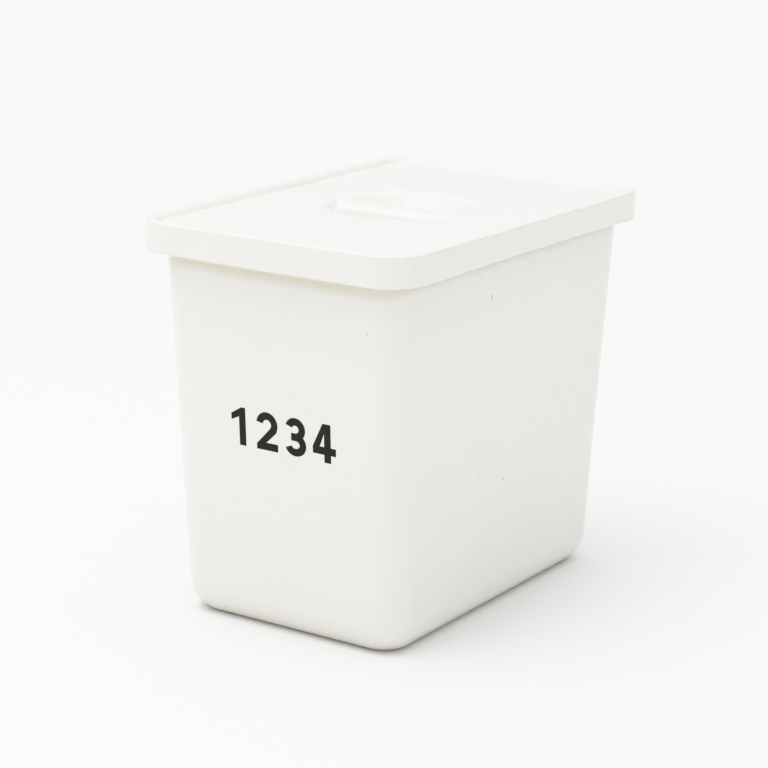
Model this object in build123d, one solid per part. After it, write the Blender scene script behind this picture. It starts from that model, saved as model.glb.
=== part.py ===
from build123d import *
import math
import os

# Rectangular glazed-ironstone kitchen canister with a drop-in lid.
# Millimetres. +Z up, +Y along the long side, -Y is the narrow front face.
# Origin: middle of the footprint, on the surface the canister stands on.

# ---------------------------------------------------------------- dimensions
HEIGHT = 231.0            # resting surface to the top of the rim
RIM_W = 181.0             # rim band, across the front face
RIM_D = 271.0             # rim band, front to back
RIM_R = 23.0              # corner radius of the rim band
RIM_BAND = 17.5           # height of the rim band
RIM_LIP_R = 2.2           # rounding of the band's outer edges
RIM_IN_R = 3.2            # rounding of the band's inner top edge
RIM_COVE_R = 3.5          # cove under the band, where it meets the wall

WALL_TOP_W = 160.1        # wall outline right under the rim band
WALL_TOP_D = 250.5
WALL_TOP_R = 17.0
WALL_BASE_W = 147.3       # the same walls run straight down to the floor plane
WALL_BASE_D = 223.0
WALL_BASE_R = 16.5

FOOT_H = 17.0             # height over which the bottom edge rounds under
FOOT_IN = 8.5             # how far it comes in by the time it touches down
BASE_HOLLOW = 1.2         # the underside is lifted inside its standing ring
BASE_RING = 11.0          # width of the standing ring

WALL_T = 8.0              # thickness of the walls
FLOOR_T = 9.5             # thickness of the floor
INNER_FOOT = 14.0         # rounding between the floor and the walls, inside

GALLERY_W = 164.6         # space inside the rim, where the lid drops in
GALLERY_D = 254.6
GALLERY_R = 15.0
SEAT_Z = 219.3            # the ledge that the lid rests on

LID_W = 163.0
LID_D = 253.0
LID_R = 14.2
LID_T = 9.0
LID_EDGE_R = 3.2          # top edge of the lid
LID_UNDER_R = 1.4         # bottom edge of the lid
LID_TOP = SEAT_Z + LID_T

HOLLOW_R = 46.5           # finger hollow: radius where the lid's top turns down
HOLLOW_LIP = 9.0          # how softly it turns down
HOLLOW_SLOPE = 48.0       # slope of the hollow's wall, degrees from level
HOLLOW_DEPTH = 20.5
HOLLOW_FOOT = 12.0        # rounding between the wall and the flat bottom
HOLLOW_T = 6.5            # thickness of the cup that forms it

BAR_T = 18.0              # grip bar, thickness front to back at its top
BAR_LEAN = 3.0            # each side leans out by this much towards the bottom
BAR_H = 12.0
BAR_DROP = 2.0            # its top lies this much below the lid's top
BAR_R = 4.6               # rounding of its long top edges
BAR_UNDER_R = 2.4         # rounding of its long bottom edges
BAR_SET = 1.6             # how far its ends are let into the hollow's wall

NUM_H = 22.0              # numerals on the front face
NUM_STROKE = 4.3
NUM_W = 14.2              # width of a wide numeral
NUM_PITCH = 19.2
NUM_X = 2.0               # middle of the row
NUM_Z = 119.0
NUM_T = 0.25              # thickness of the print and the glaze over it

# ------------------------------------------------------------------- helpers


def outline(w, d, r, z):
    """Rounded rectangle as a face lying at height z."""
    return Pos(0, 0, z) * RectangleRounded(w, d, r)


def prism(w, d, r, z0, z1):
    return extrude(outline(w, d, r, z0), amount=z1 - z0, dir=(0, 0, 1))


def wall_size(z):
    """Width, depth and corner radius of the outer wall, taken straight."""
    t = z / (HEIGHT - RIM_BAND)
    return (
        WALL_BASE_W + (WALL_TOP_W - WALL_BASE_W) * t,
        WALL_BASE_D + (WALL_TOP_D - WALL_BASE_D) * t,
        WALL_BASE_R + (WALL_TOP_R - WALL_BASE_R) * t,
    )


def tapered(z_low, z_high, inset, foot_z, foot_h, foot_in, steps=7):
    """Box with the walls' taper, inset from the outer wall, whose bottom edge
    rounds in by foot_in over foot_h above foot_z."""
    sections = []
    for i in range(steps + 1):
        u = i / steps
        z = foot_z + foot_h * u * u
        # arc that is tangent to the wall at the top of the rounding
        big_r = (foot_h**2 + foot_in**2) / (2 * foot_in)
        drop = foot_h - (z - foot_z)
        come_in = big_r - math.sqrt(max(big_r**2 - drop**2, 0.0))
        w, d, r = wall_size(z)
        k = 2 * (inset + come_in)
        sections.append(outline(w - k, d - k, max(r - inset - 0.2 * come_in, 5.0), z))
    lower = loft(sections)
    w, d, r = wall_size(foot_z + foot_h)
    k = 2 * inset
    a = outline(w - k, d - k, max(r - inset, 5.0), foot_z + foot_h)
    w, d, r = wall_size(z_high)
    b = outline(w - k, d - k, max(r - inset, 5.0), z_high)
    upper = loft([a, b], ruled=True)
    return lower + upper


def edges_at(part, z, tol=0.05):
    """All edges of a part that lie flat at height z."""
    out = []
    for e in part.edges():
        bb = e.bounding_box()
        if abs(bb.min.Z - z) < tol and abs(bb.max.Z - z) < tol:
            out.append(e)
    return out


def revolved(points_rz, arcs=()):
    """Solid of revolution from an (r, z) outline; arcs maps a point index to
    the radius its corner is rounded with."""
    pts = [Vector(r, 0, z) for r, z in points_rz]
    face = make_face(Polyline(*pts, close=True))
    for idx, rad in arcs:
        p = Vector(points_rz[idx][0], 0, points_rz[idx][1])
        v = min(face.vertices(), key=lambda q: (Vector(q.X, q.Y, q.Z) - p).length)
        face = fillet(v, rad) if isinstance(face, Sketch) else face.fillet_2d(rad, [v])
    return revolve(face, axis=Axis.Z, revolution_arc=360)


# ------------------------------------------------------------- canister body

top_of_wall = HEIGHT - RIM_BAND

outer = tapered(0, top_of_wall, 0.0, 0.0, FOOT_H, FOOT_IN)
band = prism(RIM_W, RIM_D, RIM_R, top_of_wall, HEIGHT)
shell = outer + band

# cove where the wall meets the underside of the band
w, d, r = wall_size(top_of_wall)
cove_edges = [
    e
    for e in edges_at(shell, top_of_wall)
    if e.bounding_box().max.X < w / 2 + 0.2
    and e.bounding_box().min.X > -w / 2 - 0.2
    and e.bounding_box().max.Y < d / 2 + 0.2
    and e.bounding_box().min.Y > -d / 2 - 0.2
]
shell = fillet(cove_edges, RIM_COVE_R)

# rounded outer edges of the band
outer_edges = []
for z in (top_of_wall, HEIGHT):
    for e in edges_at(shell, z):
        c = e.center()
        if (
            abs(c.X) > RIM_W / 2 - 8
            or abs(c.Y) > RIM_D / 2 - 8
        ):
            outer_edges.append(e)
shell = fillet(outer_edges, RIM_LIP_R)

# the space inside: walls follow the outside, floor turns up softly
inside = tapered(
    FLOOR_T, SEAT_Z + 1.0, WALL_T, FLOOR_T, INNER_FOOT, INNER_FOOT * 0.85
)
gallery = prism(GALLERY_W, GALLERY_D, GALLERY_R, SEAT_Z, HEIGHT + 1.0)
shell = shell - inside
shell = shell - gallery

mouth_edges = [
    e
    for e in edges_at(shell, HEIGHT)
    if abs(e.center().X) < GALLERY_W / 2 + 1.0
    and abs(e.center().Y) < GALLERY_D / 2 + 1.0
]
shell = fillet(mouth_edges, RIM_IN_R)

# the underside is very slightly lifted, leaving a ring that it stands on
bw, bd, br = wall_size(0.0)
foot_w = bw - 2 * FOOT_IN
foot_d = bd - 2 * FOOT_IN
hollow_base = prism(
    foot_w - 2 * BASE_RING, foot_d - 2 * BASE_RING, 10.0, -1.0, BASE_HOLLOW
)
canister_body = shell - hollow_base

# ----------------------------------------------------------------------- lid

plate = prism(LID_W, LID_D, LID_R, SEAT_Z, LID_TOP)
plate = fillet(edges_at(plate, LID_TOP), LID_EDGE_R)
plate = fillet(edges_at(plate, SEAT_Z), LID_UNDER_R)

# cup under the plate, and the hollow cut through both
slope = math.radians(HOLLOW_SLOPE)
run = 1 / math.tan(slope)                    # how far the wall comes in per mm down
wall_r = HOLLOW_R - HOLLOW_LIP * math.tan(slope / 2)    # where the slope meets the top
out_r = wall_r + HOLLOW_T / math.sin(slope)             # the same, outside the cup
cup_z = LID_TOP - HOLLOW_DEPTH - HOLLOW_T
cup = revolved(
    [
        (0, LID_TOP - 1.0),
        (out_r - run, LID_TOP - 1.0),
        (out_r - (HOLLOW_DEPTH + HOLLOW_T) * run, cup_z),
        (0, cup_z),
    ],
    arcs=[(2, HOLLOW_FOOT + HOLLOW_T)],
)
hollow = revolved(
    [
        (0, LID_TOP),
        (wall_r, LID_TOP),
        (wall_r - HOLLOW_DEPTH * run, LID_TOP - HOLLOW_DEPTH),
        (0, LID_TOP - HOLLOW_DEPTH),
    ],
    arcs=[(2, HOLLOW_FOOT)],
)
lid_plate = (plate + cup) - hollow
lip = [
    e
    for e in edges_at(lid_plate, LID_TOP)
    if e.bounding_box().size.X < 2 * HOLLOW_R + 1 and e.geom_type == GeomType.CIRCLE
]
lid_plate = fillet(lip, HOLLOW_LIP)
neck = [
    e
    for e in edges_at(lid_plate, SEAT_Z)
    if e.bounding_box().size.X < 2 * out_r and e.geom_type == GeomType.CIRCLE
]
lid_plate = fillet(neck, 4.0)

# grip bar, spanning the hollow from side to side; its ends slope with the wall
# and are let into it
bar_top = LID_TOP - BAR_DROP
bar_low = bar_top - BAR_H
half = BAR_T / 2
section = make_face(
    Polyline(
        (-half - BAR_LEAN, bar_low),
        (half + BAR_LEAN, bar_low),
        (half, bar_top),
        (-half, bar_top),
        close=True,
    )
)
section = fillet(section.vertices().sort_by(Axis.Y)[:2], BAR_UNDER_R)
section = fillet(section.vertices().sort_by(Axis.Y)[-2:], BAR_R)
strip = extrude(Plane.YZ * section, amount=HOLLOW_R, both=True)
end_top = wall_r - BAR_DROP * run + BAR_SET
end_low = wall_r - (BAR_DROP + BAR_H) * run + BAR_SET
k_over = 3.0 * run
side_view = make_face(
    Polyline(
        (-end_low + k_over, bar_low - 3.0),
        (end_low - k_over, bar_low - 3.0),
        (end_top + k_over, bar_top + 3.0),
        (-end_top - k_over, bar_top + 3.0),
        close=True,
    )
)
ends = extrude(Plane.XZ * side_view, amount=30.0, both=True)
lid_grip_bar = strip & ends
lid_plate = lid_plate - lid_grip_bar

# ------------------------------------------------------------------ numerals
# Plain block numerals 1 2 3 4, drawn with one even stroke.

s = NUM_STROKE
hh = NUM_H / 2
hw = NUM_W / 2


def ring_arc(cx, cy, rx, ry, a0, a1, n=40):
    """Closed band along an elliptical centre line, angles in degrees."""
    outer_p, inner_p = [], []
    for i in range(n + 1):
        a = math.radians(a0 + (a1 - a0) * i / n)
        c, t = math.cos(a), math.sin(a)
        nx, ny = c / rx, t / ry
        ln = math.hypot(nx, ny)
        nx, ny = nx / ln, ny / ln
        outer_p.append((cx + rx * c + nx * s / 2, cy + ry * t + ny * s / 2))
        inner_p.append((cx + rx * c - nx * s / 2, cy + ry * t - ny * s / 2))
    return outer_p, inner_p


def poly(points):
    """Flat polygon, always wound the same way round."""
    n = len(points)
    area = sum(
        points[i][0] * points[(i + 1) % n][1] - points[(i + 1) % n][0] * points[i][1]
        for i in range(n)
    )
    if area < 0:
        points = points[::-1]
    return make_face(Polyline(*[(x, y) for x, y in points], close=True))


def numeral_1():
    x0 = 0.4
    return poly(
        [
            (x0, -hh),
            (x0 + s, -hh),
            (x0 + s, hh),
            (x0 + s - 2.8, hh),
            (-4.8, hh - 4.2),
            (-4.8, hh - 7.9),
            (x0, hh - 5.4),
        ]
    )


def numeral_2():
    rx, ry = hw - s / 2, 0.29 * NUM_H - s / 2 + 0.9
    cy = hh - s / 2 - ry
    o, i = ring_arc(0, cy, rx, ry, 170, -36)
    return poly(
        o
        + [(-hw + s + 2.0, -hh + s), (hw, -hh + s), (hw, -hh), (-hw, -hh)]
        + [(-hw, -hh + s * 0.72)]
        + i[::-1]
    )


def numeral_3():
    rx = hw - s / 2
    ry = (NUM_H - s) / 4
    o_up, i_up = ring_arc(-0.2, ry, rx - 0.5, ry, 160, -90)
    o_low, i_low = ring_arc(-0.2, -ry, rx, ry, 90, -160)
    return poly(
        [p for p in o_up if p[1] > 0.12 or p[0] < -0.3]
        + [p for p in o_low if p[1] < -0.12]
        + i_low[::-1]
        + [(-3.0, -s / 2), (-3.0, s / 2)]
        + i_up[::-1]
    )


def numeral_4():
    right = hw - 3.0
    left = -hw - 0.7
    arm = -hh + 4.5
    outer_4 = poly(
        [
            (right, hh),
            (right, arm + s),
            (hw + 0.3, arm + s),
            (hw + 0.3, arm),
            (right, arm),
            (right, -hh),
            (right - s, -hh),
            (right - s, arm),
            (left, arm),
            (left, arm + s * 0.9),
            (right - s - 0.9, hh),
        ]
    )
    inner_4 = poly(
        [
            (right - s, arm + s),
            (right - s, hh - 5.6),
            (left + 4.6, arm + s),
        ]
    )
    return outer_4 - inner_4


# the front wall leans out towards the top
lean = math.atan2(
    (WALL_TOP_D - WALL_BASE_D) / 2, HEIGHT - RIM_BAND
)
face_y = -wall_size(NUM_Z)[1] / 2
face_plane = Plane(
    origin=(NUM_X, face_y, NUM_Z),
    x_dir=(1, 0, 0),
    z_dir=(0, -math.cos(lean), -math.sin(lean)),
)
numerals = []
for k, fn in enumerate((numeral_1, numeral_2, numeral_3, numeral_4)):
    shape = Pos((k - 1.5) * NUM_PITCH, 0) * fn()
    numerals += extrude(face_plane * shape, amount=NUM_T).solids()
front_numerals = Compound(children=numerals)

# -------------------------------------------------------------------- export

os.makedirs("parts", exist_ok=True)
nodes = {
    "canister_body": canister_body,
    "lid_plate": lid_plate,
    "lid_grip_bar": lid_grip_bar,
    "front_numerals": front_numerals,
}
for name, shape in nodes.items():
    export_step(shape, f"parts/{name}.step")
    bb = shape.bounding_box()
    print(
        name,
        "volume cm3", round(shape.volume / 1000, 2),
        "size", [round(v, 2) for v in (bb.size.X, bb.size.Y, bb.size.Z)],
    )
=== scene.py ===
import math

import bpy
import numpy as np
from mathutils import Matrix, Vector
from mathutils.geometry import delaunay_2d_cdt


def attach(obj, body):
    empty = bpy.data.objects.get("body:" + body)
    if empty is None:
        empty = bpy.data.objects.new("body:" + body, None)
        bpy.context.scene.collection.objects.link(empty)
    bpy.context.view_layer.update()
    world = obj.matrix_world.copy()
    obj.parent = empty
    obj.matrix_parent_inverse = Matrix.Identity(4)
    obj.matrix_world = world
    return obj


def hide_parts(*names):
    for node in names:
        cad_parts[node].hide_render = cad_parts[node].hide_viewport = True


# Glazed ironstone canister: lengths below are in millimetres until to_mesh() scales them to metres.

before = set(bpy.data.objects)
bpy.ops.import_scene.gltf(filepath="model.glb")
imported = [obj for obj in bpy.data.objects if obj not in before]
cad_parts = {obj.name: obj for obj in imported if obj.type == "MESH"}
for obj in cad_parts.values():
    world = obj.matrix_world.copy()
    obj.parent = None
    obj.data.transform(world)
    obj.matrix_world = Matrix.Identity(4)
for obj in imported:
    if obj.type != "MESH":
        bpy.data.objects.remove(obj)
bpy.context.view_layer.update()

MM = 0.001

# ---------------------------------------------------------------- dimensions
HEIGHT = 231.0
RIM_W, RIM_D, RIM_R = 181.0, 271.0, 23.0
RIM_Z = 213.5                       # underside of the rim band
WALL_TOP = (160.1, 250.5, 17.0)     # width, depth, corner radius under the rim
WALL_BASE = (147.3, 223.0, 16.5)    # the same walls at the floor plane
FOOT_H, FOOT_IN = 17.0, 8.5
WALL_T, FLOOR_T = 8.0, 9.5
GALLERY = (164.6, 254.6, 15.0)
SEAT_Z = 219.3
LID = (164.3, 254.3, 14.8)
LID_TOP = 228.3
HOLLOW_R = 46.5                     # where the lid's top starts to turn down
HOLLOW_LIP, HOLLOW_SLOPE = 9.0, 48.0
HOLLOW_DEPTH, HOLLOW_FOOT, HOLLOW_T = 20.5, 12.0, 6.5
BAR_TOP = 226.3
BAR_T, BAR_H, BAR_LEAN = 18.0, 12.0, 3.0

NX, NY, NC = 44, 70, 22             # points along a short side, long side, corner
N_AROUND = 2 * NX + 2 * NY + 4 * NC


# -------------------------------------------------------------- small helpers
def waves(seed, low, high, count=14):
    """A smooth random field: a sum of plane waves with wavelengths between low
    and high, scaled to stay within about -1 to 1."""
    rng = np.random.RandomState(seed)
    k = rng.normal(size=(count, 3))
    k /= np.linalg.norm(k, axis=1)[:, None]
    k *= (2 * np.pi / rng.uniform(low, high, size=count))[:, None]
    ph = rng.uniform(0, 2 * np.pi, size=count)
    a = rng.uniform(0.5, 1.0, size=count)
    a /= math.sqrt((a * a).sum() / 2) * 2.0

    def field(p):
        return np.tanh((np.sin(p @ k.T + ph) * a).sum(-1))

    return field


def rr(w, d, r):
    """Rounded rectangle, anticlockwise from above, always the same count."""
    hx, hy = w / 2, d / 2
    r = min(r, hx - 1e-3, hy - 1e-3)

    def line(a, b, n):
        t = (np.arange(n) / n)[:, None]
        return np.array(a) + (np.array(b) - np.array(a)) * t

    def arc(cx, cy, a0, n):
        t = math.radians(a0) + np.arange(n) / n * math.pi / 2
        return np.stack([cx + r * np.cos(t), cy + r * np.sin(t)], 1)

    return np.concatenate(
        [
            line((hx, -hy + r), (hx, hy - r), NY),
            arc(hx - r, hy - r, 0, NC),
            line((hx - r, hy), (-hx + r, hy), NX),
            arc(-hx + r, hy - r, 90, NC),
            line((-hx, hy - r), (-hx, -hy + r), NY),
            arc(-hx + r, -hy + r, 180, NC),
            line((-hx + r, -hy), (hx - r, -hy), NX),
            arc(hx - r, -hy + r, 270, NC),
        ]
    )


def ring(w, d, r, z):
    p = rr(w, d, r)
    return np.concatenate([p, np.full((len(p), 1), z)], 1)


def grid_normals(v, closed=True):
    """Outward normals of a grid of rings (rings, around, 3)."""
    du = np.roll(v, -1, 1) - np.roll(v, 1, 1)
    dv = np.empty_like(v)
    dv[1:-1] = v[2:] - v[:-2]
    dv[0], dv[-1] = v[1] - v[0], v[-1] - v[-2]
    n = np.cross(du, dv)
    ln = np.linalg.norm(n, axis=-1, keepdims=True)
    return n / np.maximum(ln, 1e-9)


def to_mesh(name, verts_mm, faces, materials=(), face_mats=None):
    me = bpy.data.meshes.new(name)
    me.from_pydata((np.asarray(verts_mm) * MM).tolist(), [], faces)
    me.update()
    me.shade_smooth()
    for m in materials:
        me.materials.append(m)
    if face_mats is not None:
        me.polygons.foreach_set("material_index", face_mats)
    ob = bpy.data.objects.new(name, me)
    bpy.context.scene.collection.objects.link(ob)
    return ob


def tube_faces(rings, n, cap_first=True, cap_last=True):
    faces = []
    for i in range(rings - 1):
        a, b = i * n, (i + 1) * n
        for j in range(n):
            k = (j + 1) % n
            faces.append((a + j, a + k, b + k, b + j))
    if cap_first:
        faces.append(tuple(reversed(range(n))))
    if cap_last:
        a = (rings - 1) * n
        faces.append(tuple(a + j for j in range(n)))
    return faces


def quarter(n, a0, a1):
    """Angles for an arc, both ends included."""
    return np.radians(np.linspace(a0, a1, n))


def wall_size(z):
    t = z / RIM_Z
    return tuple(b + (a - b) * t for a, b in zip(WALL_TOP, WALL_BASE))


# --------------------------------------------------------------- canister body
wall_field = waves(11, 70, 190)
wall_ripple = waves(12, 22, 48)
rim_field = waves(21, 60, 150)
lid_field = waves(31, 60, 160)
lid_ripple = waves(32, 18, 40)


def wall_push(p):
    """How far the outer wall stands off its straight taper, in mm: cast sides
    are never quite flat."""
    z = p[..., 2]
    fade = np.clip(z / 40.0, 0, 1) * np.clip((RIM_Z + 2 - z) / 25.0, 0, 1)
    corner = np.clip(np.hypot(np.abs(p[..., 0]) - 77, np.abs(p[..., 1]) - 118) / 45.0, 0.35, 1)
    return (wall_field(p) * 0.36 * corner + wall_ripple(p) * 0.03) * fade


def rim_drop(p):
    """How far the rim's top edge lies below its highest point, in mm. The
    left side is the high one, the back right corner the low one."""
    u, v = p[..., 0] / RIM_W + 0.5, p[..., 1] / RIM_D + 0.5
    flat = 0.5 * (1 - u) * (1 - v) + 0.0 * u * (1 - v) + 1.2 * u * v + 0.05 * (1 - u) * v
    along = np.clip(1 - (p[..., 1] / 132.0) ** 2, 0, 1)
    bow = (0.1 * np.exp(-(((p[..., 0] - 90) / 25.0) ** 2)) - 0.5 * np.exp(-(((p[..., 0] + 90) / 25.0) ** 2))) * along
    return np.clip(flat + bow, 0.0, None)


def build_body(glaze, biscuit):
    rings, weight = [], []

    def add(w, d, r, z, k):
        rings.append(ring(w, d, r, z))
        weight.append(k)

    # underside, from the middle out to the standing ring
    bw, bd, _ = wall_size(0)
    cw, cd, cr = bw - 2 * FOOT_IN, bd - 2 * FOOT_IN, 14.8
    hw, hd = cw - 22.0, cd - 22.0
    for t in (44.0, 34.0, 20.0, 8.0, 2.0, 0.6):
        add(hw - 2 * t, hd - 2 * t, max(10 - t, 1.5), 1.2, 0)
    add(hw - 0.1, hd - 0.1, 10.0, 1.12, 0)
    add(hw + 0.6, hd + 0.6, 10.3, 0.75, 0)
    add(hw + 1.0, hd + 1.0, 10.5, 0.35, 0)
    add(hw + 1.8, hd + 1.8, 10.9, 0.06, 0)
    add(hw + 3.0, hd + 3.0, 11.5, 0.0, 0)
    biscuit_from = len(rings) - 3
    for t in (8.0, 5.6):
        add(cw - 2 * t, cd - 2 * t, cr - t * 0.6, 0.0, 0)
    # the glazed edge ends just above the surface, over a set-back standing ring
    for t, z in ((4.6, 0.05), (3.8, 0.3), (3.1, 0.7)):
        add(cw - 2 * t, cd - 2 * t, cr - t * 0.6, z, 0)
    biscuit_to = len(rings) - 1
    for t, z in ((2.4, 0.98), (1.6, 1.12), (0.75, 1.3)):
        add(cw - 2 * t, cd - 2 * t, cr - t * 0.6, z, 0)

    # bottom edge, rounding out to the wall
    big = (FOOT_H**2 + FOOT_IN**2) / (2 * FOOT_IN)
    for z in np.concatenate([[1.75, 2.5, 3.4], np.linspace(4.5, FOOT_H, 13)]):
        drop = FOOT_H - z
        inn = big - math.sqrt(big**2 - drop**2)
        w, d, r = wall_size(z)
        add(w - 2 * inn, d - 2 * inn, r - 0.2 * inn, z, min(1.0, z / 14))
    # walls
    cove = 2.6
    for z in np.linspace(FOOT_H + 4.5, RIM_Z - cove, 44):
        w, d, r = wall_size(z)
        add(w, d, r, z, 1)
    # cove under the rim
    w, d, r = WALL_TOP
    for a in quarter(9, 180, 90)[1:]:
        x = cove + cove * math.cos(a)
        z = RIM_Z - cove + cove * math.sin(a)
        add(w + 2 * x, d + 2 * x, r + x, z, 0.6)
    # underside of the rim and its rounded lower edge
    ra, rb = 1.3, 2.0
    full = (RIM_W - 0.06, RIM_D - 0.06, RIM_R)
    for t in (5.4, 3.6):
        add(full[0] - 2 * t, full[1] - 2 * t, full[2] - t, RIM_Z, 0.6)
    for a in quarter(10, -90, 0):
        t = ra - ra * math.cos(a)
        z = RIM_Z + ra + ra * math.sin(a)
        add(full[0] - 2 * t, full[1] - 2 * t, full[2] - t, z, 0.8)
    for z in np.linspace(RIM_Z + ra + 1.2, HEIGHT - rb - 1.0, 6):
        add(*full, z, 0.8)
    # rounded top of the rim, softer outside than inside
    for a in quarter(12, 0, 84):
        t = rb - rb * math.cos(a)
        z = HEIGHT - rb + rb * math.sin(a)
        add(full[0] - 2 * t, full[1] - 2 * t, full[2] - t, z, 0.8)
    # inside, it runs over into a soft slope that ends at the lid's level
    rc, steep, level = 6.0, math.radians(46), 227.4
    gw, gd, gr = GALLERY
    fall = HEIGHT - level - rc * (1 - math.cos(steep))
    reach = rc * math.sin(steep) + fall / math.tan(steep)
    for a in np.linspace(0.03, steep, 10):
        t = reach - rc * math.sin(a)
        add(gw + 2 * t, gd + 2 * t, gr + t, HEIGHT - rc * (1 - math.cos(a)), 0.7)
    for f in (0.3, 0.6, 0.88):
        t = fall / math.tan(steep) * (1 - f)
        add(gw + 2 * t, gd + 2 * t, gr + t, level + fall * (1 - f), 0.6)
    add(gw, gd, gr, level - 0.25, 0.5)
    # inside of the rim, down to the seat
    for z in (226.0, 224.6, 223.1, 221.6):
        k = (HEIGHT - z) * 0.01
        add(gw - 2 * k, gd - 2 * k, gr - k, z, 0.3)
    for a in quarter(6, 0, -90):
        t = 1.5 - 1.5 * math.cos(a)
        z = SEAT_Z + 1.4 + 1.5 * math.sin(a)
        add(gw - 0.4 - 2 * t, gd - 0.4 - 2 * t, gr - 0.2 - t, z, 0)
    mw, md = [v - 2 * WALL_T for v in wall_size(SEAT_Z)[:2]]
    mr = 9.0
    for t in (6.5, 4.2):
        add(mw + 2 * t, md + 2 * t, mr + t, SEAT_Z - 0.1, 0)
    for a in quarter(7, 90, 180):
        t = 2.6 + 2.6 * math.cos(a)
        z = SEAT_Z - 0.1 - 2.6 + 2.6 * math.sin(a)
        add(mw + 2 * t, md + 2 * t, mr + t, z, 0)
    # inner walls
    for z in np.linspace(SEAT_Z - 6, FLOOR_T + 15.5, 30):
        w, d, _ = wall_size(z)
        add(w - 2 * WALL_T, d - 2 * WALL_T, 8.8, z, -0.7)
    big = (14.0**2 + 11.9**2) / (2 * 11.9)
    for z in FLOOR_T + 14.0 * np.cos(quarter(10, 4, 90)):
        drop = FLOOR_T + 14.0 - z
        inn = big - math.sqrt(max(big**2 - drop**2, 0))
        w, d, _ = wall_size(z)
        add(w - 2 * WALL_T - 2 * inn, d - 2 * WALL_T - 2 * inn, max(8.8 - 0.2 * inn, 6), z, 0)
    w, d, _ = wall_size(FLOOR_T)
    w, d = w - 2 * WALL_T - 23.8, d - 2 * WALL_T - 23.8
    for t in (1.0, 4.0, 10.0, 20.0, 32.0, 42.0):
        add(w - 2 * t, d - 2 * t, max(6 - t, 1.5), FLOOR_T - 0.05, 0)

    v = np.array(rings)
    k = np.array(weight)[:, None]
    n = grid_normals(v)
    outer = k >= 0
    push = np.where(outer, wall_push(v), -wall_push(v))
    # the rim has a slow wander of its own
    z = v[..., 2]
    on_rim = np.clip((z - RIM_Z + 3) / 6, 0, 1) * (k > 0)
    push = push * np.abs(k) + on_rim * (rim_field(v) * 0.12 - 0.12) * np.clip(k, 0, 1)
    v = v + n * push[..., None]
    # its lower edge sags a little, most in the middle of the front
    sag = np.clip((RIM_Z + 7.0 - z) / 7.0, 0, 1) * np.clip((z - RIM_Z + 12.0) / 8.0, 0, 1) * (k > 0)
    mid_front = np.exp(-(((v[..., 1] + 135.5) / 40.0) ** 2)) * np.clip(1 - (v[..., 0] / 90.0) ** 2, 0, 1)
    back_right = np.exp(-(((v[..., 1] - 125.0) / 60.0) ** 2)) * np.clip(v[..., 0] / 60.0, 0, 1)
    right_side = np.exp(-(((v[..., 0] - 90.0) / 25.0) ** 2)) * np.clip(1 - (v[..., 1] / 132.0) ** 2, 0, 1)
    v[..., 2] -= sag * (0.55 - 0.75 * right_side + 0.8 * mid_front + 0.9 * back_right)
    # and its top edge isn't quite level
    lift = on_rim * np.clip((z - 222.0) / 9.0, 0, 1)
    v[..., 2] -= lift * (rim_drop(v) + 0.08 + 0.08 * rim_field(v * [1.0, 1.0, 0.0] + [0, 0, 50.0]))

    rows = len(rings)
    faces = tube_faces(rows, N_AROUND)
    mats = np.zeros(len(faces), dtype=np.int32)
    for i in range(biscuit_from, biscuit_to):
        mats[i * N_AROUND : (i + 1) * N_AROUND] = 1
    ob = to_mesh("canister_shell", v.reshape(-1, 3), faces, (glaze, biscuit), mats)
    return ob


# ------------------------------------------------------------------------ lid
def hollow_profile():
    """(r, z) from the middle of the hollow's floor out to the lid's top: flat
    floor, soft foot, straight slope, soft lip."""
    sl = math.radians(HOLLOW_SLOPE)
    top_r = HOLLOW_R - HOLLOW_LIP * math.tan(sl / 2)      # slope meets the top plane
    foot_r = top_r - HOLLOW_DEPTH / math.tan(sl)          # slope meets the floor plane
    z0 = LID_TOP - HOLLOW_DEPTH
    flat_r = foot_r - HOLLOW_FOOT * math.tan(sl / 2)
    pts = [(0.8, z0), (flat_r * 0.45, z0), (flat_r * 0.8, z0)]
    for a in np.linspace(0, sl, 9):
        pts.append((flat_r + HOLLOW_FOOT * math.sin(a), z0 + HOLLOW_FOOT * (1 - math.cos(a))))
    end = (HOLLOW_R - HOLLOW_LIP * math.sin(sl), LID_TOP - HOLLOW_LIP * (1 - math.cos(sl)))
    r1, z1 = pts[-1]
    for t in np.linspace(0, 1, 9)[1:-1]:
        pts.append((r1 + (end[0] - r1) * t, z1 + (end[1] - z1) * t))
    for a in np.linspace(sl, 0, 14):
        pts.append((HOLLOW_R - HOLLOW_LIP * math.sin(a), LID_TOP - HOLLOW_LIP * (1 - math.cos(a))))
    return pts


def cup_profile():
    """(r, z) of the cup's outside, from its middle out to the plate's underside:
    the hollow's line again, one wall thickness further out."""
    sl = math.radians(HOLLOW_SLOPE)
    run = 1 / math.tan(sl)
    t = HOLLOW_T - 0.1
    out_r = HOLLOW_R - HOLLOW_LIP * math.tan(sl / 2) + t / math.sin(sl)
    z0 = LID_TOP - HOLLOW_DEPTH - t
    foot = HOLLOW_FOOT + t
    flat_r = out_r - (HOLLOW_DEPTH + t) * run - foot * math.tan(sl / 2)
    pts = [(1.0, z0), (flat_r * 0.5, z0), (flat_r * 0.85, z0)]
    for a in np.linspace(0, sl, 10):
        pts.append((flat_r + foot * math.sin(a), z0 + foot * (1 - math.cos(a))))
    # a small cove where it runs into the underside
    cove, seat = 4.0, SEAT_Z + 0.06
    seat_r = out_r - (LID_TOP - seat) * run + cove * math.tan(sl / 2)
    for a in np.linspace(sl, 0, 7):
        pts.append((seat_r - cove * math.sin(a), seat - cove * (1 - math.cos(a))))
    return pts


HOLLOW = hollow_profile()


def hollow_radius(z):
    pts = np.array(HOLLOW)
    return np.interp(z, pts[:, 1], pts[:, 0])


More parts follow.
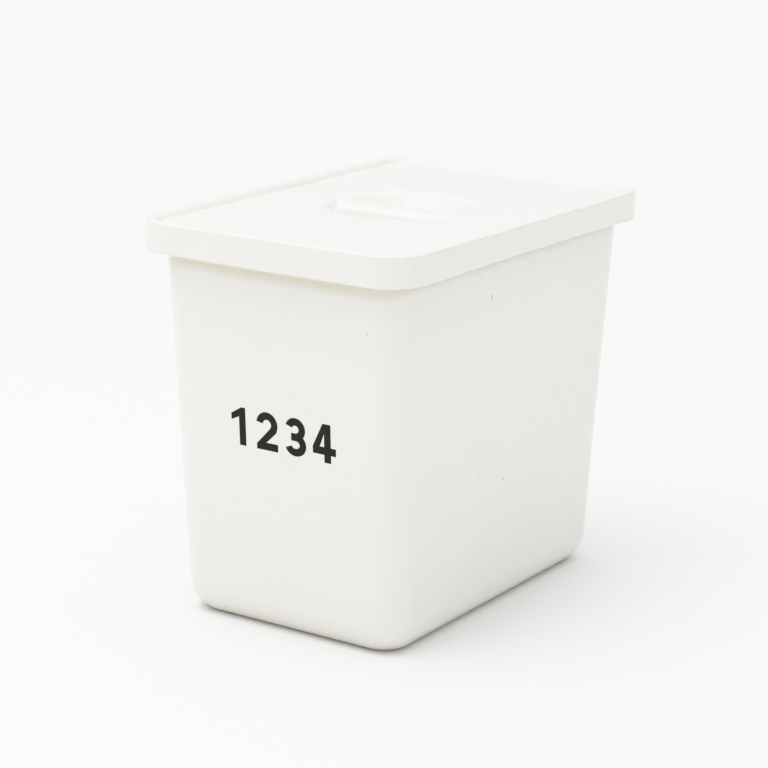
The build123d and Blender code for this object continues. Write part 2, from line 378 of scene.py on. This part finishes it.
def lid_rise(p):
    """How far the lid's top stands off its flat plane, in mm: it is warped,
    lowest at the back right corner."""
    u, v = p[..., 0] / 163.0 + 0.5, p[..., 1] / 253.0 + 0.5
    twist = -0.3 * (1 - u) * (1 - v) - 0.2 * u * (1 - v) - 1.7 * u * v - 0.3 * (1 - u) * v
    crown = 0.55 * np.clip(1 - np.hypot(p[..., 0] / 81.5, p[..., 1] / 126.5) ** 2, 0, 1)
    return twist + crown + lid_field(p) * 0.16 + lid_ripple(p) * 0.012


def build_lid(glaze):
    outline = rr(*LID)
    ang = np.arctan2(outline[:, 1], outline[:, 0])
    circ = np.stack([np.cos(ang), np.sin(ang)], 1)

    rings, weight = [], []

    def add(xy, z, k=0.0):
        rings.append(np.concatenate([xy, np.full((len(xy), 1), z)], 1))
        weight.append(k)

    # under the cup, out and up to the plate's underside
    cup = cup_profile()
    for r, z in cup:
        add(circ * r, z)
    for f in (0.04, 0.12, 0.3, 0.5, 0.7, 0.85, 0.94):
        w, d, r = LID
        edge = rr(w - 12, d - 12, 8.0)
        add(circ * cup[-1][0] * (1 - f) + edge * f, SEAT_Z + 0.06)
    w, d, r = LID
    for a in quarter(6, -90, 0):
        t = 1.9 - 1.4 * math.cos(a)
        add(rr(w - 2 * t, d - 2 * t, r - t), SEAT_Z + 1.46 + 1.4 * math.sin(a))
    for z, t in ((222.0, 0.36), (223.4, 0.12)):
        add(rr(w - 2 * t, d - 2 * t, r - t), z, 0.0)
    # soft top edge
    rt, fall = 3.0, 0.8
    for a in quarter(12, 0, 90):
        t = rt - rt * math.cos(a)
        k = math.sin(a)
        add(rr(w - 2 * t, d - 2 * t, r - t), LID_TOP - fall + fall * k, 0.6 + 0.4 * k)
    # top surface, from the edge in to the hollow
    inner = rr(w - 2 * 5.4, d - 2 * 5.4, r - 4.4)
    for f in np.linspace(0, 1, 26):
        g = f**0.9
        add(inner * (1 - g) + circ * (HOLLOW_R + 1.5) * g, LID_TOP, 1.0)
    for r_, z in HOLLOW[::-1]:
        add(circ * r_, z, np.clip((z - 206.0) / 22.3, 0, 1))

    v = np.array(rings)
    k = np.array(weight)[:, None]
    v[..., 2] += k * lid_rise(v)
    faces = tube_faces(len(rings), N_AROUND)
    return to_mesh("lid_slab", v.reshape(-1, 3), faces, (glaze,))


def build_bar(glaze):
    """Strip across the hollow: nearly flat top, soft shoulders, sides that lean
    out downwards, and ends that swell into the hollow's slope."""
    shoulder, foot, lean = 5.0, 2.5, BAR_LEAN
    run = 1 / math.tan(math.radians(HOLLOW_SLOPE))
    zt, zb = BAR_TOP, BAR_TOP - BAR_H
    half_t, half_b = BAR_T / 2, BAR_T / 2 + lean
    # section, right side from the top middle round to the bottom middle
    side = math.atan2(zt - zb, half_b - half_t)           # slope of the side
    pts = [(0.0, zt + 0.35), (half_t * 0.3, zt + 0.32), (half_t * 0.55, zt + 0.2)]
    c = (half_t - shoulder * math.tan(side / 2) + 0.4, zt - shoulder)
    for a in np.linspace(0, side, 9):
        pts.append((c[0] + shoulder * math.sin(a), c[1] + shoulder * math.cos(a)))
    turn = math.pi - side
    c = (half_b - foot * math.tan(turn / 2), zb + foot)
    for a in np.linspace(side, math.pi, 8):
        pts.append((c[0] + foot * math.sin(a), c[1] + foot * math.cos(a)))
    pts.append((half_b * 0.4, zb))
    pts.append((0.0, zb))
    right = np.array(pts)
    left = right[1:-1][::-1] * [-1, 1]
    sec = np.concatenate([right, left])                   # clockwise seen from +X
    nxt, prv = np.roll(sec, -1, 0), np.roll(sec, 1, 0)
    tan = nxt - prv
    nrm = np.stack([-tan[:, 1], tan[:, 0]], 1)
    nrm /= np.linalg.norm(nrm, axis=1)[:, None]
    if (nrm * (sec - sec.mean(0))).sum() < 0:
        nrm = -nrm
    end = 42.4
    xs = np.concatenate([np.linspace(-end, -26, 30), np.linspace(-24, 24, 20), np.linspace(26, end, 30)])
    fil = 3.4
    rings = []
    for x0 in xs:
        y, z = sec[:, 0].copy(), sec[:, 1].copy()
        # the ends slope with the hollow's wall
        x = x0 * (1 - (zt - z) * run / end)
        # concave swelling where the strip was luted to the slope
        gap = hollow_radius(np.clip(z, 209, 228.2)) - np.hypot(x, y)
        q = np.clip(1 - gap / fil, 0, 1)
        swell = fil * (1 - np.sqrt(1 - q * q)) * np.where(nrm[:, 1] > 0.5, 0.0, 1.0)
        mid = 1 - min(abs(x0) / 40, 1) ** 2
        y = y * (1 - 0.015 * mid) + nrm[:, 0] * swell
        z = z + nrm[:, 1] * swell + 0.10 * math.sin(x0 * 0.11 + 0.7) * mid - 0.1 * mid
        z += lid_rise(np.stack([x, y, z], 1)) * np.clip((z - 206.0) / 22.3, 0, 1)
        rings.append(np.stack([x, y, z], 1))
    v = np.array(rings)[:, ::-1]
    m = v.shape[1]
    faces = tube_faces(len(xs), m)
    return to_mesh("grip_strip", v.reshape(-1, 3), faces, (glaze,))


# ------------------------------------------------------------------- numerals
NUM_H, S, NUM_W, PITCH = 22.0, 4.3, 14.2, 19.2
NUM_X, NUM_Z = 2.0, 119.0
HH, HW = NUM_H / 2, NUM_W / 2


def ring_arc(cx, cy, rx, ry, a0, a1, n=40):
    outer_p, inner_p = [], []
    for i in range(n + 1):
        a = math.radians(a0 + (a1 - a0) * i / n)
        c, t = math.cos(a), math.sin(a)
        nx, ny = c / rx, t / ry
        ln = math.hypot(nx, ny)
        nx, ny = nx / ln, ny / ln
        outer_p.append((cx + rx * c + nx * S / 2, cy + ry * t + ny * S / 2))
        inner_p.append((cx + rx * c - nx * S / 2, cy + ry * t - ny * S / 2))
    return outer_p, inner_p


def glyphs():
    """Outlines of the plain numerals 1 2 3 4, each a list of closed loops."""
    x0 = 0.4
    one = [(x0, -HH), (x0 + S, -HH), (x0 + S, HH), (x0 + S - 2.8, HH),
           (-4.8, HH - 4.2), (-4.8, HH - 7.9), (x0, HH - 5.4)]
    rx, ry = HW - S / 2, 0.29 * NUM_H - S / 2 + 0.9
    o, i = ring_arc(0, HH - S / 2 - ry, rx, ry, 170, -36)
    two = (o + [(-HW + S + 2.0, -HH + S), (HW, -HH + S), (HW, -HH), (-HW, -HH),
                (-HW, -HH + S * 0.72)] + i[::-1])
    rx, ry = HW - S / 2, (NUM_H - S) / 4
    o_up, i_up = ring_arc(-0.2, ry, rx - 0.5, ry, 160, -90)
    o_low, i_low = ring_arc(-0.2, -ry, rx, ry, 90, -160)
    three = ([p for p in o_up if p[1] > 0.12 or p[0] < -0.3]
             + [p for p in o_low if p[1] < -0.12]
             + i_low[::-1] + [(-3.0, -S / 2), (-3.0, S / 2)] + i_up[::-1])
    right, left, arm = HW - 3.0, -HW - 0.7, -HH + 4.5
    four = [(right, HH), (right, arm + S), (HW + 0.3, arm + S), (HW + 0.3, arm),
            (right, arm), (right, -HH), (right - S, -HH), (right - S, arm),
            (left, arm), (left, arm + S * 0.9), (right - S - 0.9, HH)]
    eye = [(right - S, arm + S), (right - S, HH - 5.6), (left + 4.6, arm + S)]
    return [[one], [two], [three], [four, eye]]


def dense(loop, step=0.9):
    out = []
    for k in range(len(loop)):
        a, b = np.array(loop[k]), np.array(loop[(k + 1) % len(loop)])
        m = max(1, int(math.ceil(np.linalg.norm(b - a) / step)))
        out += [tuple(a + (b - a) * s / m) for s in range(m)]
    return out


def inside(p, loop):
    x, y = p
    c = False
    for k in range(len(loop)):
        (xa, ya), (xb, yb) = loop[k], loop[k - 1]
        if (ya > y) != (yb > y) and x < (xb - xa) * (y - ya) / (yb - ya) + xa:
            c = not c
    return c


def build_numerals(ink):
    verts, faces = [], []
    for k, loops in enumerate(glyphs()):
        dx = NUM_X + (k - 1.5) * PITCH
        loops = [dense(lp) for lp in loops]
        pts, edges = [], []
        for lp in loops:
            a = len(pts)
            pts += lp
            edges += [(a + i, a + (i + 1) % len(lp)) for i in range(len(lp))]
        out = delaunay_2d_cdt([Vector(p) for p in pts], edges, [], 0, 1e-6)
        vs, tris = out[0], out[2]
        keep = []
        for tri in tris:
            c = sum((vs[i] for i in tri), Vector((0, 0))) / 3
            if inside(c, loops[0]) and not any(inside(c, lp) for lp in loops[1:]):
                keep.append(tuple(tri))
        flat = np.array([(p.x + dx, 0.0, p.y + NUM_Z) for p in vs])
        # stand each point on the wall, then lift it by the print's thickness
        half = np.array([wall_size(z)[1] / 2 for z in flat[:, 2]])
        flat[:, 1] = -half
        lean = math.atan2((WALL_TOP[1] - WALL_BASE[1]) / 2, RIM_Z)
        nrm = np.array([0, -math.cos(lean), -math.sin(lean)])
        base = flat + nrm * wall_push(flat)[:, None]
        top = base + nrm * 0.09
        low = base - nrm * 0.06
        a = len(verts)
        m = len(flat)
        verts += top.tolist() + low.tolist()
        # which edges are on the outline
        count = {}
        for tri in keep:
            for e in ((tri[0], tri[1]), (tri[1], tri[2]), (tri[2], tri[0])):
                count[tuple(sorted(e))] = count.get(tuple(sorted(e)), 0) + 1
        for t0, t1, t2 in keep:
            faces.append((a + t0, a + t1, a + t2))
            faces.append((a + m + t2, a + m + t1, a + m + t0))
            for e in ((t0, t1), (t1, t2), (t2, t0)):
                if count[tuple(sorted(e))] == 1:
                    faces.append((a + e[1], a + e[0], a + m + e[0], a + m + e[1]))
    used = sorted({i for f in faces for i in f})
    index = {old: new for new, old in enumerate(used)}
    verts = [verts[i] for i in used]
    faces = [tuple(index[i] for i in f) for f in faces]
    ob = to_mesh("numerals_print", verts, faces, (ink,))
    for p in ob.data.polygons:
        p.use_smooth = False
    return ob


# ------------------------------------------------------------------ materials
class Nodes:
    def __init__(self, name):
        self.mat = bpy.data.materials.new(name)
        self.mat.use_nodes = True
        self.t = self.mat.node_tree
        self.bsdf = self.t.nodes["Principled BSDF"]
        self.coord = self.t.nodes.new("ShaderNodeTexCoord").outputs["Object"]

    def new(self, kind, **props):
        n = self.t.nodes.new(kind)
        for k, v in props.items():
            setattr(n, k, v)
        return n

    def link(self, a, b):
        self.t.links.new(a, b)

    def value(self, sock, v):
        if hasattr(v, "is_output"):
            self.link(v, sock)
        else:
            sock.default_value = v

    def math(self, op, a, b=0.0, c=0.0, clamp=False):
        n = self.new("ShaderNodeMath", operation=op, use_clamp=clamp)
        for s, v in zip(n.inputs, (a, b, c)):
            self.value(s, v)
        return n.outputs[0]

    def ramp(self, x, lo, hi, out0=0.0, out1=1.0, smooth=True):
        n = self.new("ShaderNodeMapRange", interpolation_type="SMOOTHSTEP" if smooth else "LINEAR")
        self.value(n.inputs["Value"], x)
        n.inputs["From Min"].default_value = lo
        n.inputs["From Max"].default_value = hi
        n.inputs["To Min"].default_value = out0
        n.inputs["To Max"].default_value = out1
        return n.outputs["Result"]

    def noise(self, scale, detail=2.0, rough=0.5, offset=(0, 0, 0), stretch=(1, 1, 1), distortion=0.0):
        m = self.new("ShaderNodeMapping")
        m.inputs["Location"].default_value = offset
        m.inputs["Scale"].default_value = stretch
        self.link(self.coord, m.inputs["Vector"])
        n = self.new("ShaderNodeTexNoise")
        n.inputs["Scale"].default_value = scale
        n.inputs["Detail"].default_value = detail
        n.inputs["Roughness"].default_value = rough
        n.inputs["Distortion"].default_value = distortion
        self.link(m.outputs["Vector"], n.inputs["Vector"])
        return n.outputs["Fac"]

    def mix(self, fac, a, b):
        n = self.new("ShaderNodeMix", data_type="RGBA")
        self.value(n.inputs["Factor"], fac)
        for s, v in ((n.inputs[6], a), (n.inputs[7], b)):
            if hasattr(v, "is_output"):
                self.link(v, s)
            else:
                s.default_value = (*v, 1.0)
        return n.outputs[2]

    def xyz(self):
        n = self.new("ShaderNodeSeparateXYZ")
        self.link(self.coord, n.inputs[0])
        return n.outputs

    def bump(self, height, distance, strength=1.0, normal=None):
        n = self.new("ShaderNodeBump")
        n.inputs["Strength"].default_value = strength
        n.inputs["Distance"].default_value = distance
        self.link(height, n.inputs["Height"])
        if normal is not None:
            self.link(normal, n.inputs["Normal"])
        return n.outputs["Normal"]

    def spot(self, centre, radius, soft=0.35, stretch=(1, 1, 1)):
        """1 inside a small blot round a point in the object's own space."""
        m = self.new("ShaderNodeVectorMath", operation="SUBTRACT")
        self.link(self.coord, m.inputs[0])
        m.inputs[1].default_value = [c * MM for c in centre]
        s = self.new("ShaderNodeVectorMath", operation="MULTIPLY")
        self.link(m.outputs[0], s.inputs[0])
        s.inputs[1].default_value = stretch
        ln = self.new("ShaderNodeVectorMath", operation="LENGTH")
        self.link(s.outputs[0], ln.inputs[0])
        return self.ramp(ln.outputs["Value"], radius * MM * (1 - soft), radius * MM * (1 + soft), 1.0, 0.0)


WHITE = (0.868, 0.857, 0.812)
# painted shade colour: warmer and darker, for the bands of painted shade below
WARM_SHADE = (0.72, 0.675, 0.54)
# painted light colour: brighter and less yellow, for the lid's hollow
HOLLOW_LIGHT = (0.880, 0.876, 0.848)
SPECK = (0.17, 0.155, 0.125)


def glaze_material(name, specks=(), warm_shade_bands=(), white=WHITE, lit_below=None):
    g = Nodes(name)
    x, y, z = g.xyz()
    # slow drift of tone, and the fine mottle of a fired tin-white glaze
    drift = g.noise(9.0, 3.0, 0.5, (0.3, 0.1, 0.7))
    mottle = g.noise(140.0, 3.0, 0.6, (2.1, 0.4, 1.3))
    col = g.mix(g.ramp(drift, 0.35, 0.68, 0.0, 0.34), white, tuple(c * f for c, f in zip(white, (0.976, 0.972, 0.955))))
    col = g.mix(g.ramp(mottle, 0.35, 0.7, 0.0, 0.22), col, tuple(c * f for c, f in zip(white, (0.985, 0.982, 0.965))))
    # painted shade, partly glaze pooling: a warmer, darker colour in bands by height, under the rim for the rim's
    # shadow and its warm bounce light, at the foot and deep in the lid's hollow where shade falls
    front = g.ramp(y, -0.124, -0.114, 1.0, 0.0)
    for lo, hi, hi2, lo2, amount, front_drop, uneven, front_share in warm_shade_bands:
        wob = g.math("SUBTRACT", z, uneven * MM / 2)
        wob = g.math("MULTIPLY_ADD", g.noise(34.0, 2.0, 0.5, (lo, 0.2, 0.0)), uneven * MM, wob)
        low = g.math("MULTIPLY_ADD", front, front_drop * MM, wob)
        band = g.math("MULTIPLY", g.ramp(low, lo * MM, hi * MM), g.ramp(wob, hi2 * MM, lo2 * MM, 1.0, 0.0))
        share = g.math("MULTIPLY_ADD", front, (front_share - 1.0) * amount, amount)
        col = g.mix(g.math("MULTIPLY", band, share), col, WARM_SHADE)
    # painted light: low in the lid's hollow the colour is brighter and less yellow than on the flat, for the light the
    # hollow gets
    if lit_below is not None:
        low, high = lit_below
        col = g.mix(g.ramp(z, low * MM, high * MM, 1.0, 0.0), col, HOLLOW_LIGHT)
    # scattered iron specks, few and tiny
    vor = g.new("ShaderNodeTexVoronoi", feature="F1")
    vor.inputs["Scale"].default_value = 46.0
    g.link(g.coord, vor.inputs["Vector"])
    sep = g.new("ShaderNodeSeparateColor")
    g.link(vor.outputs["Color"], sep.inputs[0])
    rare = g.ramp(sep.outputs[0], 0.90, 0.91)
    size = g.math("MULTIPLY_ADD", sep.outputs[1], 0.016, 0.006)
    dot = g.math("LESS_THAN", vor.outputs["Distance"], size)
    faint = g.math("MULTIPLY", g.math("MULTIPLY", dot, rare), g.math("MULTIPLY_ADD", sep.outputs[2], 0.35, 0.12))
    col = g.mix(faint, col, SPECK)
    for c, r, dark, stretch in specks:
        col = g.mix(g.math("MULTIPLY", g.spot(c, r, stretch=stretch), dark), col, SPECK)
    g.link(col, g.bsdf.inputs["Base Color"])
    # satin body under a clear, slightly uneven skin of glaze
    rough = g.ramp(g.noise(26.0, 4.0, 0.6, (0.9, 0.3, 0.2)), 0.3, 0.72, 0.16, 0.27)
    g.link(rough, g.bsdf.inputs["Roughness"])
    g.bsdf.inputs["IOR"].default_value = 1.5
    g.bsdf.inputs["Coat Weight"].default_value = 0.6
    g.bsdf.inputs["Coat Roughness"].default_value = 0.05
    g.bsdf.inputs["Coat IOR"].default_value = 1.5
    ripple = g.noise(62.0, 2.0, 0.45, (0.2, 0.8, 0.1))
    peel = g.noise(420.0, 2.0, 0.5, (0.5, 0.6, 0.4))
    n1 = g.bump(ripple, 0.00025, 0.5)
    n2 = g.bump(peel, 0.00004, 0.5, n1)
    g.link(n2, g.bsdf.inputs["Normal"])
    return g.mat


def biscuit_material():
    g = Nodes("bare_foot_ring")
    grit = g.noise(600.0, 4.0, 0.7)
    stain = g.noise(40.0, 3.0, 0.6)
    col = g.mix(g.ramp(grit, 0.3, 0.75), (0.70, 0.66, 0.58), (0.58, 0.53, 0.45))
    col = g.mix(g.ramp(stain, 0.5, 0.8, 0.0, 0.4), col, (0.48, 0.42, 0.34))
    g.link(col, g.bsdf.inputs["Base Color"])
    g.bsdf.inputs["Roughness"].default_value = 0.85
    g.link(g.bump(grit, 0.00015, 0.6), g.bsdf.inputs["Normal"])
    return g.mat


def ink_material():
    g = Nodes("black_transfer")
    n = g.noise(260.0, 3.0, 0.6)
    thin = g.noise(1400.0, 2.0, 0.5)
    col = g.mix(g.ramp(n, 0.35, 0.75), (0.0135, 0.0133, 0.0115), (0.019, 0.0188, 0.0165))
    col = g.mix(g.ramp(thin, 0.66, 0.8, 0.0, 0.2), col, (0.055, 0.055, 0.05))
    g.link(col, g.bsdf.inputs["Base Color"])
    g.link(g.ramp(n, 0.3, 0.7, 0.2, 0.3), g.bsdf.inputs["Roughness"])
    g.bsdf.inputs["Specular IOR Level"].default_value = 0.16
    g.link(g.bump(g.noise(62.0, 2.0, 0.45, (0.2, 0.8, 0.1)), 0.0006, 0.5), g.bsdf.inputs["Normal"])
    return g.mat


BODY_SPECKS = [
    ((59.9, -123.4, 185.1), 0.62, 0.36, (1, 1, 1)),
    ((59.0, -123.5, 186.5), 0.5, 0.12, (1, 1, 1)),
    ((79.4, -28.5, 190.3), 0.8, 0.45, (1, 1, 0.55)),
    ((76.3, -32.7, 88.1), 0.7, 0.30, (1, 1, 1)),
    ((76.0, -4.1, 78.5), 0.6, 0.62, (1, 1, 1)),
    ((-39.2, -121.6, 156.8), 0.6, 0.09, (1, 1, 1)),
    ((-7.3, -123.7, 189.5), 0.6, 0.10, (1, 1, 1)),
    ((49.1, -113.4, 29.3), 0.6, 0.12, (1, 1, 1)),
]

# ---------------------------------------------------------------------- build
body_glaze = glaze_material(
    "white_glaze_body",
    BODY_SPECKS,
    # low edge, full from, full to, high edge (mm), strength, further down in
    # front (mm), unevenness (mm), share of the strength kept in front
    [
        # painted shade: darker at the foot, a broad warm band under the rim, and a narrow dark line right under its
        # edge
        (-4.0, -3.0, 1.5, 12.0, 0.42, 0.0, 6.0, 1.0),
        (204.5, 210.8, 212.0, 214.0, 0.76, 2.2, 2.4, 1.0),
        (208.5, 211.5, 213.2, 214.0, 0.75, 0.0, 0.8, 0.0),
    ],
)
# the lid: painted shade deep in the hollow, covered there by painted light, a brighter colour low in the hollow
lid_glaze = glaze_material(
    "white_glaze_lid", (), [(203.0, 204.0, 206.0, 212.0, 0.15, 0.0, 6.0, 1.0)], lit_below=(222.5, 226.5)
)
biscuit = biscuit_material()
ink = ink_material()

body = build_body(body_glaze, biscuit)
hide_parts("canister_body")
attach(body, "canister")

lid = build_lid(lid_glaze)
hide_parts("lid_plate")
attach(lid, "lid")

bar = build_bar(lid_glaze)
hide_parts("lid_grip_bar")
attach(bar, "lid")

numerals = build_numerals(ink)
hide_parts("front_numerals")
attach(numerals, "canister")

# ---------------------------------------------------------------------- stage
floor_mat = Nodes("floor")
tone = floor_mat.noise(1.6, 2.0, 0.5)
reach = floor_mat.new("ShaderNodeVectorMath", operation="LENGTH")
floor_mat.link(floor_mat.coord, reach.inputs[0])
near = floor_mat.mix(floor_mat.ramp(tone, 0.3, 0.7), (0.928, 0.928, 0.929), (0.948, 0.948, 0.948))
# painted light: the floor gets lighter away from the object, for a brighter far ground
floor_mat.link(
    floor_mat.mix(floor_mat.ramp(reach.outputs["Value"], 0.5, 2.6), near, (0.985, 0.985, 0.985)),
    floor_mat.bsdf.inputs["Base Color"],
)
# painted light: the floor also glows faintly, more with distance from the object, though it is no lamp
floor_mat.bsdf.inputs["Emission Color"].default_value = (1.0, 1.0, 1.0, 1.0)
floor_mat.link(
    floor_mat.ramp(reach.outputs["Value"], 0.5, 2.6, 0.0, 0.06),
    floor_mat.bsdf.inputs["Emission Strength"],
)
floor_mat.bsdf.inputs["Roughness"].default_value = 0.75
floor_mat.bsdf.inputs["Specular IOR Level"].default_value = 0.2
me = bpy.data.meshes.new("floor")
R = 9.0
me.from_pydata([(-R, -R, 0), (R, -R, 0), (R, R, 0), (-R, R, 0)], [], [(0, 1, 2, 3)])
me.materials.append(floor_mat.mat)
floor = bpy.data.objects.new("floor", me)
bpy.context.scene.collection.objects.link(floor)

# --------------------------------------------------------------------- lights
world = bpy.data.worlds.new("studio")
bpy.context.scene.world = world
world.use_nodes = True
bg = world.node_tree.nodes["Background"]
bg.inputs["Color"].default_value = (0.99, 0.995, 1.0, 1.0)

# A white room: even all round, brighter overhead, with a bright wall behind the
# object and weaker soft panels in front. Each lobe is a direction, how tight it
# is, and how much it adds.
EVEN = 0.45
LOBES = [
    ((0.0, 0.0, 1.0), 1.0, 0.533),
    ((0.0, 0.0, 1.0), 4.0, 0.495),
    ((-0.55, 0.83, 0.12), 4.0, 0.323),
    ((-0.35, -0.75, 0.55), 3.0, 0.126),
]


def world_math(op, a, b):
    n = world.node_tree.nodes.new("ShaderNodeMath")
    n.operation = op
    for sock, v in zip(n.inputs, (a, b)):
        if hasattr(v, "is_output"):
            world.node_tree.links.new(v, sock)
        else:
            sock.default_value = v
    return n.outputs[0]


way = world.node_tree.nodes.new("ShaderNodeTexCoord").outputs["Generated"]
level = None
for towards, tight, amount in LOBES:
    dot = world.node_tree.nodes.new("ShaderNodeVectorMath")
    dot.operation = "DOT_PRODUCT"
    world.node_tree.links.new(way, dot.inputs[0])
    dot.inputs[1].default_value = Vector(towards).normalized()
    lobe = world_math("POWER", world_math("MAXIMUM", dot.outputs["Value"], 0.0), tight)
    lobe = world_math("MULTIPLY", lobe, amount)
    level = world_math("ADD", lobe, EVEN if level is None else level)
world.node_tree.links.new(level, bg.inputs["Strength"])


def sun(name, towards, strength, angle, colour=(1, 1, 1)):
    """Wide, soft light from the direction of towards (a vector to the light)."""
    data = bpy.data.lights.new(name, "SUN")
    data.energy, data.angle, data.color = strength, math.radians(angle), colour
    ob = bpy.data.objects.new(name, data)
    ob.rotation_mode = "QUATERNION"
    ob.rotation_quaternion = Vector(towards).to_track_quat("Z", "Y")
    bpy.context.scene.collection.objects.link(ob)
    return ob


def softbox(name, at, aim, size, power, colour=(1, 1, 1)):
    data = bpy.data.lights.new(name, "AREA")
    data.shape, data.size, data.size_y = "RECTANGLE", size[0], size[1]
    data.energy, data.color = power, colour
    ob = bpy.data.objects.new(name, data)
    ob.location = at
    ob.rotation_mode = "QUATERNION"
    ob.rotation_quaternion = (Vector(at) - Vector(aim)).to_track_quat("Z", "Y")
    bpy.context.scene.collection.objects.link(ob)
    return ob


sun("key", (-0.35, -0.45, 1.10), 0.059, 38)
softbox("ceiling_panel", (-0.35, -0.45, 1.25), (0, 0, 0.15), (0.9, 0.9), 3.5)
softbox("side_card", (0.85, -0.45, 0.18), (0.07, -0.05, 0.10), (0.45, 0.35), 0.15)

# --------------------------------------------------------------------- camera
yaw, pitch, roll = math.radians(33.07), math.radians(15.09), math.radians(1.05)
right_h = Vector((math.cos(yaw), math.sin(yaw), 0))
back = Vector((math.sin(yaw) * math.cos(pitch), -math.cos(yaw) * math.cos(pitch), math.sin(pitch)))
target = Vector((0, 0, 0.115)) + right_h * -0.0077 + Vector((0, 0, 0.0064))
up = right_h.cross(-back)
r2 = right_h * math.cos(roll) + up * math.sin(roll)
u2 = -right_h * math.sin(roll) + up * math.cos(roll)
cam_data = bpy.data.cameras.new("camera")
cam_data.sensor_width = 36.0
cam_data.lens = 2410.1 / 768 * 36
cam_data.clip_start, cam_data.clip_end = 0.05, 60
cam = bpy.data.objects.new("camera", cam_data)
cam.matrix_world = Matrix(
    (
        (r2.x, u2.x, back.x, 0),
        (r2.y, u2.y, back.y, 0),
        (r2.z, u2.z, back.z, 0),
        (0, 0, 0, 1),
    )
)
cam.location = target + back * 1.4123
bpy.context.scene.collection.objects.link(cam)
bpy.context.scene.camera = cam

vs = bpy.context.scene.view_settings
vs.view_transform = "Standard"
vs.look = "None"
vs.exposure = 0.0
vs.gamma = 1.0
# A soft shoulder, as film or a camera has, so that white glaze on a white ground
# keeps its shading. Straight up to 0.78, then it flattens.
vs.use_curve_mapping = True
tone_curve = vs.curve_mapping
tone_curve.white_level = (2.0, 2.0, 2.0)
curve = tone_curve.curves[3]
SHOULDER = [(0.2, 0.2), (0.4, 0.4), (0.6, 0.6), (0.70, 0.70), (0.78, 0.78), (0.84, 0.836), (0.90, 0.882),
            (0.96, 0.915), (1.02, 0.937), (1.10, 0.956), (1.19, 0.969), (1.27, 0.982), (1.40, 0.988)]
curve.points[0].location = (0.0, 0.0)
curve.points[1].location = (1.0, 0.993)
for x, y in SHOULDER:
    curve.points.new(x / 2.0, y)
tone_curve.update()
